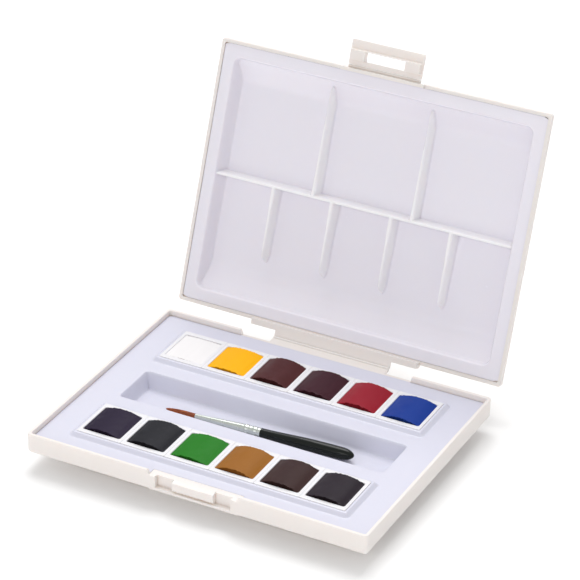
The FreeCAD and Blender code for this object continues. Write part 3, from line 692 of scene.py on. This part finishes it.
@dataclass
class Tray:
    """The lift-in tray: a plate with two raised collars round the pan wells and the brush trough."""

    wall: float = 1.0
    plate_thick: float = 1.0
    collar_height: float = 1.3
    collar_run: float = 1.3     # plan width of a collar's slope
    collar_foot: float = 2.0
    collar_corner: float = 1.6
    pan_gap: float = 0.05
    trough_half: tuple[float, float] = (49.3, 9.2)
    trough_depth: float = 5.8
    trough_draft: float = 1.5
    trough_corner: float = 1.2
    trough_soft: float = 0.4
    notch_half: float = 16.62
    notch_y: float = -42.83
    corner: float = 0.65
    # the last colour is painted crease shade
    finish: MouldedPlastic = MouldedPlastic("lilac_polystyrene_tray_moulded", "D8D8E5", "D4D4E2", "E6E5EE",
                                            "B0ADC4", roughness=0.3, ior=1.59)

    def wells(self) -> list[tuple[tuple[float, float], tuple[float, float]]]:
        """The centre and half size of the well round each row, from the pans' own boxes."""
        found = []
        for row in Row:
            low, _ = millimetre_box(f"pan_{row.value[0]}_1")
            _, high = millimetre_box(f"pan_{row.value[0]}_6")
            middle, half = (low + high) / 2, (high - low) / 2 + self.pan_gap
            found.append(((middle[0], middle[1]), (half[0], half[1])))
        return found

    def relief(self, top: float, floor: float, grow: float, drop: float) -> Height:
        """The tray's height: plate + collars - wells - trough, each a soft ramp inside its outline.

        Args:
            top: the plate's upper face.
            floor: the wells' floor.
            grow: how far the wells and trough are widened, for the underside.
            drop: how far the whole is lowered, for the underside.

        Returns:
            The height function.
        """
        wells = self.wells()

        def height(x: np.ndarray, y: np.ndarray) -> np.ndarray:
            """The height at each point."""
            z = np.full(x.shape, top - drop)
            for middle, half in wells:
                foot = (half[0] + self.collar_foot, half[1] + self.collar_foot)
                if not grow:
                    slope = depth_inside(x, y, middle, foot, self.collar_corner)
                    z = z + self.collar_height * soft_ramp(slope, 0.0, self.collar_run, 0.3)
                wide = (half[0] + grow, half[1] + grow)
                pit = soft_ramp(depth_inside(x, y, middle, wide, 1.0), 0.0, 0.1, 0.03)
                z = z + (floor - drop - z) * pit
            mouth = (self.trough_half[0] + grow, self.trough_half[1] + grow)
            dip = soft_ramp(depth_inside(x, y, (0.0, 0.0), mouth, self.trough_corner), 0.0,
                            self.trough_draft, self.trough_soft)
            return z + (top - self.trough_depth - drop - z) * np.clip(dip, 0, 1)
        return height

    def build(self) -> bpy.types.Object:
        """Build the tray over its CAD node.

        Returns:
            The tray's object.
        """
        low, high = millimetre_box("colour_tray")
        top = high[2] - self.collar_height
        floor = millimetre_box("pan_front_1")[0][2]
        wells = self.wells()
        lines_x, lines_y = [], []
        for middle, half in wells:
            lines_x += [middle[0] - half[0], middle[0] + half[0]]
            lines_y += [middle[1] - half[1], middle[1] + half[1]]
        soft_x = [side * (abs(lines_x[1]) + self.collar_foot - 0.8) for side in (-1, 1)]
        soft_x += [side * (self.trough_half[0] - 0.8) for side in (-1, 1)]
        soft_y = [line + out * (self.collar_foot - 0.8) for line, out in zip(lines_y, (-1, 1, -1, 1))]
        soft_y += [side * (self.trough_half[1] - 0.8) for side in (-1, 1)]
        notch = [side * (self.notch_half + step) for side in (-1, 1) for step in (-0.01, 0.01)]
        xs, ys = (merged_lines(low[k], high[k], (sharp, 0.25, 0.05, 1.6), (soft, 1.7, 0.2, FINE_ONLY))
                  for k, sharp, soft in ((0, lines_x, soft_x), (1, lines_y, soft_y)))
        xs = np.union1d(xs, notch)
        half = (high[:2] - low[:2]) / 2
        front = round_corners(half[0], half[1], self.corner, -1)
        surface = plate(xs, ys, self.relief(top, floor, 0.0, 0.0),
                        self.relief(top, floor, self.wall, self.plate_thick),
                        lambda x: np.where(np.abs(x) < self.notch_half, self.notch_y, front(x)),
                        round_corners(half[0], half[1], self.corner, 1), 5.0)
        return stand_in(surface.to_object("tray", 35.0), self.finish.material(), "case", "colour_tray",
                        "insert_plastic")


@dataclass
class Palette:
    """The lid's mixing palette, worked out shut and swung open: wells with soft ramps and ribs."""

    wells_half: tuple[float, float] = (56.7, 41.45)
    corner: float = 2.8
    front_flange: float = 4.35
    outer_corner: float = 0.6
    flange: float = 0.3         # above the base's rim when shut
    depth: float = 5.8
    wall_run: float = 1.7
    latch_ramp: float = 8.0
    hinge_ramp: float = 8.5
    soft: float = 0.6
    rib_drop: float = 0.8
    rib_half: float = 0.45
    rib_run: float = 0.75
    large_end: float = 39.0     # where the ribs between the large wells run out
    large_sink: float = 9.0     # how far a rib sinks past its end, which is deeper than the wells
    small_end: float = 28.25
    small_sink: float = 6.0
    ridge_highlight_reach: float = 0.9   # how far down a rib's side the painted highlight reaches
    sheet: float = 0.8
    # painted light: the palette is the tray's plastic, coloured paler to stand in for the brighter light it
    # gets; its third colour also serves as the painted rib highlight and its last is painted crease shade
    finish: MouldedPlastic = MouldedPlastic("lilac_polystyrene_palette_lit_paler", "F1EDF5", "EFEBF4", "FBF9FC",
                                            "B3A9BC", roughness=0.27, ior=1.59, glow=0.3, glow_mm=1.0,
                                            ridges_highlit=True)

    def well_depth(self, x: np.ndarray, y: np.ndarray) -> np.ndarray:
        """Depth below the flange without the ribs: depth times the lesser of the steep side ramp and the
        shallow ramps at the latch and hinge ends, which start a quarter of the way down."""
        inside = depth_inside(x, y, (0.0, 0.0), self.wells_half, self.corner)
        wall = soft_ramp(inside, 0.0, self.wall_run, 0.35)
        latch_side = soft_ramp(self.wells_half[1] + y, 0.0, self.latch_ramp, 1.6)
        hinge_side = soft_ramp(self.wells_half[1] - y, 0.0, self.hinge_ramp, 1.6)
        ends = np.minimum(latch_side, hinge_side)
        return self.depth * np.minimum(wall, 0.25 + 0.75 * ends)

    def rib(self, across: np.ndarray, half: np.ndarray | float, low: np.ndarray | float) -> np.ndarray:
        """Depth of a rib with drafted sides: low on its top, then down to the floor beside it."""
        fall = soft_ramp(np.abs(across) - half, 0.0, self.rib_run, 0.14)
        return low + (self.depth + 0.5 - low) * fall

    def face(self, x: np.ndarray, y: np.ndarray) -> np.ndarray:
        """Depth of the show face: the wells, with the smooth least of every rib's depth."""
        depth = self.well_depth(x, y)
        ribs = self.rib(y, self.rib_half, self.rib_drop)
        for n in (1, 2):
            place = -self.wells_half[0] + n * 2 * self.wells_half[0] / 3
            half = np.interp(-y, [0.0, self.large_end], [self.rib_half * 1.3, 0.08])
            sunk = soft_ramp(-y, self.large_end - 0.5, self.large_end + 1.5, 0.5)
            beyond = np.where(y > 0, self.large_sink, 0.0) + self.large_sink * sunk
            ribs = np.minimum(ribs, self.rib(x - place, half, self.rib_drop) + beyond)
        for n in (1, 2, 3, 4):
            place = -self.wells_half[0] + n * 2 * self.wells_half[0] / 5
            half = np.interp(y, [0.0, self.small_end], [self.rib_half * 1.5, 0.15])
            sunk = soft_ramp(y, self.small_end - 3.0, self.small_end, 0.8)
            beyond = np.where(y < 0, self.large_sink, 0.0) + self.small_sink * sunk
            ribs = np.minimum(ribs, self.rib(x - place, half, self.rib_drop) + beyond)
        return smooth_least(depth, ribs, 0.5)

    def back(self, x: np.ndarray, y: np.ndarray) -> np.ndarray:
        """Depth of the hidden face: the same wells one sheet wider and deeper, without ribs."""
        grown = depth_inside(x, y, (0.0, 0.0), tuple(h + self.sheet for h in self.wells_half), self.corner)
        return self.sheet + self.depth * soft_ramp(grown, 0.0, self.wall_run, 0.35)

    def build(self, opened: Matrix) -> bpy.types.Object:
        """Build the palette over its CAD node.

        Args:
            opened: the transform from the shut lid to the rest position, in millimetres.

        Returns:
            The palette's object.
        """
        low, high = millimetre_box("mixing_palette")
        base_rim = millimetre_box("base_shell")[1][2]
        half_x = (high[0] - low[0]) / 2
        half_y = self.wells_half[1] + self.front_flange
        ribs_x = [-self.wells_half[0] + n * 2 * self.wells_half[0] / k for k in (3, 5) for n in range(1, k)]
        walls_x = [side * (self.wells_half[0] - 0.9) for side in (-1, 1)]
        walls_y = [side * (self.wells_half[1] - 0.9) for side in (-1, 1)]
        xs = merged_lines(-half_x, half_x, (ribs_x, 1.5, 0.25, 1.7), (walls_x, 2.0, 0.25, FINE_ONLY))
        ys = merged_lines(-half_y, half_y, ([0.0], 1.5, 0.2, 1.5), (walls_y, 2.0, 0.25, FINE_ONLY),
                          ([self.small_end - 1.5], 2.0, 0.4, FINE_ONLY))
        level = base_rim + self.flange
        surface = plate(xs, ys, lambda x, y: level + self.back(x, y), lambda x, y: level + self.face(x, y),
                        round_corners(half_x, half_y, self.outer_corner, -1),
                        round_corners(half_x, half_y, self.outer_corner, 1), 2.5)
        x, y, z = surface.points.T
        # share of painted highlight: how far a point stands above the plain well, up to its reach
        raised = (self.well_depth(x, y) - (z - level)) / self.ridge_highlight_reach
        shown = np.arange(len(z)) >= len(z) // 2
        surface.ridge_highlight = np.where(shown, np.clip(raised, 0, 1), 0)
        return stand_in(surface.moved(opened).to_object("palette", 80.0), self.finish.material(), "palette",
                        "mixing_palette", "insert_plastic")


@dataclass
class Pan:
    """One half pan: a drafted cup with a rounded rim, thicker at its ends than at its sides."""

    side_wall: float = 1.15
    end_wall: float = 1.8
    floor: float = 1.0
    corner: float = 0.4
    rim_round: float = 0.16
    swell: float = 0.047        # how much of the play to the next pan it takes up, each side
    foot: tuple[tuple[float, float], ...] = ((0.5, 0.0), (0.25, 0.12), (0.16, 0.5))  # inset and height

    def profile(self, half: np.ndarray, tall: float) -> np.ndarray:
        """Rings (half x, half y, corner, height) up the outer wall, over the rim and down inside."""
        rim = self.rim_round
        bend = np.linspace(0, np.pi / 2, 5)
        rise = [tall - rim + rim * math.sin(a) for a in bend]
        rows = [*self.foot, *((rim * (1 - math.cos(a)), height) for a, height in zip(bend, rise))]
        outer = [(half[0] - inset, half[1] - inset, max(self.corner - inset / 2, 0.2), height)
                 for inset, height in rows]
        mouth = (half[0] - self.side_wall - self.swell, half[1] - self.end_wall - self.swell)
        inner = [(mouth[0] + rim - shift, mouth[1] + rim - shift, 0.7, height)
                 for shift, height in zip(np.linspace(0, rim, 5), rise[::-1])]
        inner += [(mouth[0] - 0.15, mouth[1] - 0.15, 0.8, self.floor + 0.7),
                  (mouth[0] - 0.35, mouth[1] - 0.35, 0.9, self.floor + 0.2),
                  (mouth[0] - 0.8, mouth[1] - 0.8, 1.0, self.floor)]
        return np.array(outer + inner)

    def build(self, name: str, body: str, material: bpy.types.Material) -> bpy.types.Object:
        """Build the pan over its CAD node.

        Args:
            name: the CAD node it stands for.
            body: the body it rides on.
            material: its plastic.

        Returns:
            The pan's object.
        """
        low, high = millimetre_box(name)
        middle = (low + high) / 2
        half = (high - low)[:2] / 2 + self.swell
        surface = loft(rounded_rings(self.profile(half, high[2] - low[2]), 6))
        place = Matrix.Translation(Vector((middle[0], middle[1], low[2])))
        cup = surface.moved(place).to_object(name.replace("pan_", "cup_"), 40.0)
        return stand_in(cup, material, body, name, "pan_plastic")


@dataclass
class Cake:
    """The paint in one pan: arched from side to side, with broken, crumbly ends and a low ripple on top."""

    side_drop: float = 0.42     # edge below the pan's rim
    crumble: float = 0.35       # how far its ends break back
    ripple: float = 0.015
    end_round: float = 0.2
    lip: float = 0.12           # paint drawn up against the pan's sides as it dried
    crumbs: float = 0.1

    def build(self, paint: Paint, body: str, seed: int) -> bpy.types.Object:
        """Build the cake over its CAD node.

        The top is z = edge + crown (1 - |x / hx|^2.3) - round(|y|) + ripple w(x, y), and each end lies at
        y = hy - crumble (1 + w(x)) / 2.

        Args:
            paint: its colour.
            body: the body it rides on.
            seed: which random marks it has.

        Returns:
            The cake's object.
        """
        low, high = millimetre_box(paint.node)
        middle, half = (low + high) / 2, (high - low) / 2
        rim = millimetre_box("pan_front_1")[1][2]
        edge = rim - self.side_drop
        xs = middle[0] + np.linspace(-half[0], half[0], 45)
        ys = middle[1] + np.linspace(-half[1], half[1], 60)

        def broken(side: int) -> Edge:
            """One end's Y at each X."""
            def line(x: np.ndarray) -> np.ndarray:
                """The broken line."""
                rough = waves(x, 0 * x, 2.2, seed + side) * 0.6 + waves(x, 0 * x, 0.8, seed + 9 + side) * 0.4
                return middle[1] + side * (half[1] - self.crumble * np.clip(0.5 + 0.5 * rough, 0, 1))
            return line

        def top(x: np.ndarray, y: np.ndarray) -> np.ndarray:
            """The arched top."""
            across = np.clip(np.abs(x - middle[0]) / half[0], 0, 1)
            near = half[1] - np.abs(y - middle[1])
            fall = self.end_round * np.clip(1 - near / 0.7, 0, 1) ** 2
            lip = self.lip * np.clip(1 - (half[0] - np.abs(x - middle[0])) / 0.6, 0, 1)
            crumbs = self.crumbs * waves(x, y, 0.9, seed + 40) * np.clip(1 - near / 0.8, 0, 1)
            return (edge + paint.crown * (1 - across ** 2.3) + lip - fall + crumbs
                    + self.ripple * waves(x, y, 5.0, seed + 3))

        surface = plate(xs, ys, top, lambda x, y: np.full(x.shape, low[2] + 0.02), broken(-1), broken(1), 1.2)
        cake = surface.to_object(paint.node.replace("paint_", "cake_"), 50.0)
        return stand_in(cake, paint.finish().material(), body, paint.node, paint.node)


@dataclass
class PanRow:
    """One row of six pans and their paint."""

    row: Row
    plastic: bpy.types.Material
    pan: Pan = field(default_factory=Pan)
    cake: Cake = field(default_factory=Cake)

    def build(self) -> list[bpy.types.Object]:
        """Build every pan and cake of the row."""
        word, paints = self.row.value
        made = []
        for n, paint in enumerate(paints, start=1):
            body = f"{word}_pan_{n}"
            made.append(self.pan.build(f"pan_{word}_{n}", body, self.plastic))
            made.append(self.cake.build(paint, body, 100 * n + (50 if self.row is Row.BACK else 0)))
        return made


@dataclass
class Brush:
    """The pocket brush: a tuft with stray hairs, a tapered ferrule with two crimps, a lacquered handle."""

    yaw: float = 1.8
    pitch: float = 1.1
    tuft_length: float = 11.1
    tuft_belly: float = 0.84
    ferrule_length: float = 24.7
    ferrule_mouth: float = 0.78
    ferrule_back: float = 1.55
    crimp_step: float = 3.1
    crimp_width: float = 1.5
    crimp_raise: float = 0.12
    valley: float = 0.1         # depth of the pressed line behind a crimp
    valley_place: float = 1.7
    valley_width: float = 0.25
    handle_length: float = 34.0
    handle_neck: float = 1.6
    handle_belly: float = 2.15
    hairs: int = 36

    def place(self) -> Matrix:
        """The brush's own frame: its tip at the tuft's low end, turned by its yaw and tilted by its pitch."""
        low, high = millimetre_box("brush_tuft")
        tilt = math.sin(math.radians(self.pitch))
        swing = math.sin(math.radians(self.yaw))
        reach = high[0] - low[0]
        middle = (low + high) / 2
        tip = Vector((low[0], middle[1] - swing * reach / 2 - 0.05, middle[2] - tilt * reach / 2))
        turn = Matrix.Rotation(math.radians(self.yaw), 4, "Z")
        tip_up = Matrix.Rotation(-math.radians(self.pitch), 4, "Y")
        return Matrix.Translation(tip) @ (turn @ tip_up)

    def tuft(self) -> Surface:
        """The tuft: a swell that runs to a point, ridged like wet hair, with stray hairs laid along it."""
        s = np.concatenate([np.linspace(0.0, 1.5, 6), np.linspace(2.0, self.tuft_length + 1.0, 18)])
        share = s / self.tuft_length
        radius = np.interp(share, [0, 0.02, 0.08, 0.2, 0.4, 0.62, 0.85, 1.0, 1.1],
                           [0.08, 0.24, 0.42, 0.58, 0.74, 0.84, 0.8, 0.7, 0.68]) * self.tuft_belly / 0.84
        body = loft(turned_rings(s, radius, 72, 18, 0.05))
        dice = np.random.default_rng(7)
        for _ in range(self.hairs):
            angle = dice.uniform(0, 2 * np.pi)
            start = dice.uniform(0.0, 0.35)
            spread = dice.uniform(0.97, 1.09)
            path = np.linspace(start, 1.02, 9)
            out = np.interp(path, share, radius) * spread
            thick = 0.035 * np.minimum(1, (path - start) * 6 + 0.15)
            ring = turned_rings(path * self.tuft_length, thick, 5)
            wander = angle + 0.25 * np.sin(path * 5 + angle)
            ring[..., 1] += (out * np.cos(wander))[:, None]
            ring[..., 2] += (out * np.sin(wander))[:, None]
            body = body.joined(loft(ring))
        return body

    def ferrule(self) -> Surface:
        """The ferrule: a cone to the first crimp, then a tube. Each crimp is raise sin^2 over its width, with
        a pressed valley, depth exp(-d^2), behind it."""
        s = np.concatenate([np.linspace(0, 0.2, 4), np.linspace(0.4, self.ferrule_length - 7, 20),
                            np.linspace(self.ferrule_length - 6.9, self.ferrule_length, 70)])
        first = self.ferrule_length - 2 * self.crimp_step
        radius = np.interp(s, [0, 0.12, first, self.ferrule_length],
                           [self.ferrule_mouth - 0.05, self.ferrule_mouth, self.ferrule_back,
                            self.ferrule_back])
        for start in (first, first + self.crimp_step):
            t = np.clip((s - start) / self.crimp_width, 0, 1)
            behind = (s - start - self.valley_place) / self.valley_width
            radius = radius + self.crimp_raise * np.sin(np.pi * t) ** 2 - self.valley * np.exp(-behind ** 2)
        return loft(turned_rings(s + self.tuft_length, radius, 48))

    def handle(self) -> Surface:
        """The handle: neck to belly by a smooth step, a little thinner behind, and a round end."""
        cap = np.sin(np.linspace(0, np.pi / 2, 16)[1:])
        t = np.concatenate([np.linspace(0, 0.86, 40), 0.86 + 0.14 * cap])
        step = np.clip(t / 0.6, 0, 1) ** 2 * (3 - 2 * np.clip(t / 0.6, 0, 1))
        slim = np.clip((t - 0.6) / 0.4, 0, 1) ** 2
        radius = self.handle_neck + (self.handle_belly - self.handle_neck) * step - 0.2 * slim
        end = np.clip((t - 0.86) / 0.14, 0, 1)
        radius = radius * np.maximum(np.sqrt(np.maximum(1 - end ** 2.2, 0)), 0.03)
        start = self.tuft_length + self.ferrule_length
        return loft(turned_rings(start + t * self.handle_length, radius, 48))

    def build(self) -> list[bpy.types.Object]:
        """Build the three pieces over their CAD nodes."""
        place = self.place()
        plan = (("tuft", self.tuft(), SableHair("sable_hair_shaped"), "bristle"),
                ("ferrule", self.ferrule(), PlatedNickel("nickel_plated_brass_drawn"), "nickel"),
                ("handle", self.handle(), Lacquer("black_lacquer_dipped"), "lacquer"))
        return [stand_in(surface.moved(place).to_object(word, 50.0), finish.material(), "brush",
                         "brush_" + word, slot) for word, surface, finish, slot in plan]


# ---------------------------------------------------------------- the studio

@dataclass
class Studio:
    """A white sweep under a pale sky with a dark band at its foot, a soft light over the hinge side on the
    left, a low fill in front, and the camera."""

    azimuth: float = 27.235
    elevation: float = 29.548
    roll: float = 0.888
    distance: float = 1.05275
    aim: tuple[float, float, float] = (-0.02578, 0.06850, 0.020)
    lens: float = 185.51
    shift: tuple[float, float] = (0.0015, 0.0)
    key_place: tuple[float, float, float] = (-0.35, 0.95, 2.0)
    key_size: float = 1.4
    key_power: float = 29.0
    fill_place: tuple[float, float, float] = (0.0, -2.0, 0.85)
    fill_size: float = 1.3
    fill_power: float = 9.5
    sky: float = 0.68
    horizon: float = 0.12       # height of the dark band above the floor, as the sine of its elevation
    horizon_grey: float = 0.08

    def camera(self) -> None:
        """Set the camera at its distance, azimuth and elevation from the aim point, turned by its roll."""
        a, e = math.radians(self.azimuth), math.radians(self.elevation)
        back = Vector((math.sin(a) * math.cos(e), -math.cos(a) * math.cos(e), math.sin(e)))
        made = bpy.data.objects.new("camera", bpy.data.cameras.new("camera"))
        bpy.context.scene.collection.objects.link(made)
        made.location = Vector(self.aim) + back * self.distance
        made.rotation_mode = "QUATERNION"
        level = (-back).to_track_quat("-Z", "Y").to_matrix()
        made.rotation_quaternion = (level @ Matrix.Rotation(math.radians(self.roll), 3, "Z")).to_quaternion()
        made.data.lens = self.lens
        made.data.sensor_width = 36.0
        made.data.shift_x, made.data.shift_y = self.shift
        made.data.clip_start, made.data.clip_end = 0.05, 20.0
        bpy.context.scene.camera = made

    def lamp(self, name: str, place: tuple[float, float, float], size: float, power: float) -> None:
        """Hang a square soft light that faces the object."""
        light = bpy.data.lights.new(name, "AREA")
        light.size, light.energy = size, power
        made = bpy.data.objects.new(name, light)
        bpy.context.scene.collection.objects.link(made)
        made.location = place
        made.rotation_mode = "QUATERNION"
        made.rotation_quaternion = (-Vector(place)).to_track_quat("-Z", "Y")

    def floor(self) -> None:
        """Lay the white sweep."""
        surface = Surface(np.array([[-6, -6, 0], [6, -6, 0], [6, 6, 0], [-6, 6, 0]]) / MM,
                          [np.array([[0, 1, 2, 3]])])
        sweep = surface.to_object("sweep")
        material = bpy.data.materials.new("white_paper_sweep")
        material.use_nodes = True
        shader = material.node_tree.nodes["Principled BSDF"]
        shader.inputs["Base Color"].default_value = linear("FDFDFD")
        shader.inputs["Roughness"].default_value = 0.9
        shader.inputs["Specular IOR Level"].default_value = 0.1
        dress(sweep, material)

    def build(self) -> None:
        """Make the camera, the floor and the lights."""
        self.camera()
        self.floor()
        self.lamp("key", self.key_place, self.key_size, self.key_power)
        self.lamp("fill", self.fill_place, self.fill_size, self.fill_power)
        world = bpy.data.worlds.new("studio")
        world.use_nodes = True
        tree = world.node_tree
        around = add(tree, "TexCoord").outputs["Generated"]
        height = add(tree, "SeparateXYZ", inputs={"Vector": around}).outputs["Z"]
        glow = add(tree, "MapRange", {"interpolation_type": "SMOOTHSTEP"},
                   {"Value": height, "From Min": self.horizon, "From Max": self.horizon * 1.6,
                    "To Min": self.horizon_grey, "To Max": self.sky})
        background = tree.nodes["Background"]
        background.inputs["Color"].default_value = (1.0, 1.0, 1.0, 1.0)
        tree.links.new(glow.outputs["Result"], background.inputs["Strength"])
        bpy.context.scene.world = world
        bpy.context.scene.view_settings.view_transform = "Standard"


def opened_lid(frame: dict) -> Matrix:
    """The transform from the shut lid to the rest position, from the hinge joint's place and range.


    Returns:
        A matrix in millimetres.
    """
    joint = next(j for j in frame["joints"] if j["name"] == "lid_hinge")
    pivot = Vector(joint["pos_m"]) / MM
    angle = math.radians(-joint["range_deg"][0])
    turn = Matrix.Rotation(angle, 4, Vector(joint["axis"]))
    return Matrix.Translation(pivot) @ turn @ Matrix.Translation(-pivot)


def main() -> None:
    """Build the studio and every part of the set, and log each piece's face count."""
    logging.basicConfig(level=logging.INFO, format="%(message)s")
    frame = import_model()
    Studio().build()
    made = Case().build(frame)
    made.append(Tray().build())
    made.append(Palette().build(opened_lid(frame)))
    # the last colour is painted crease shade
    plastic = MouldedPlastic("white_polystyrene_pan_moulded", "E9E8EB", "E6E5E8", "F2F2F4", "DAD4D6",
                             roughness=0.3, ior=1.59).material()
    for row in Row:
        made += PanRow(row, plastic).build()
    made += Brush().build()
    for piece in made:
        LOG.info("%s: %d faces", piece.name, len(piece.data.polygons))


if __name__ == "__main__":
    main()
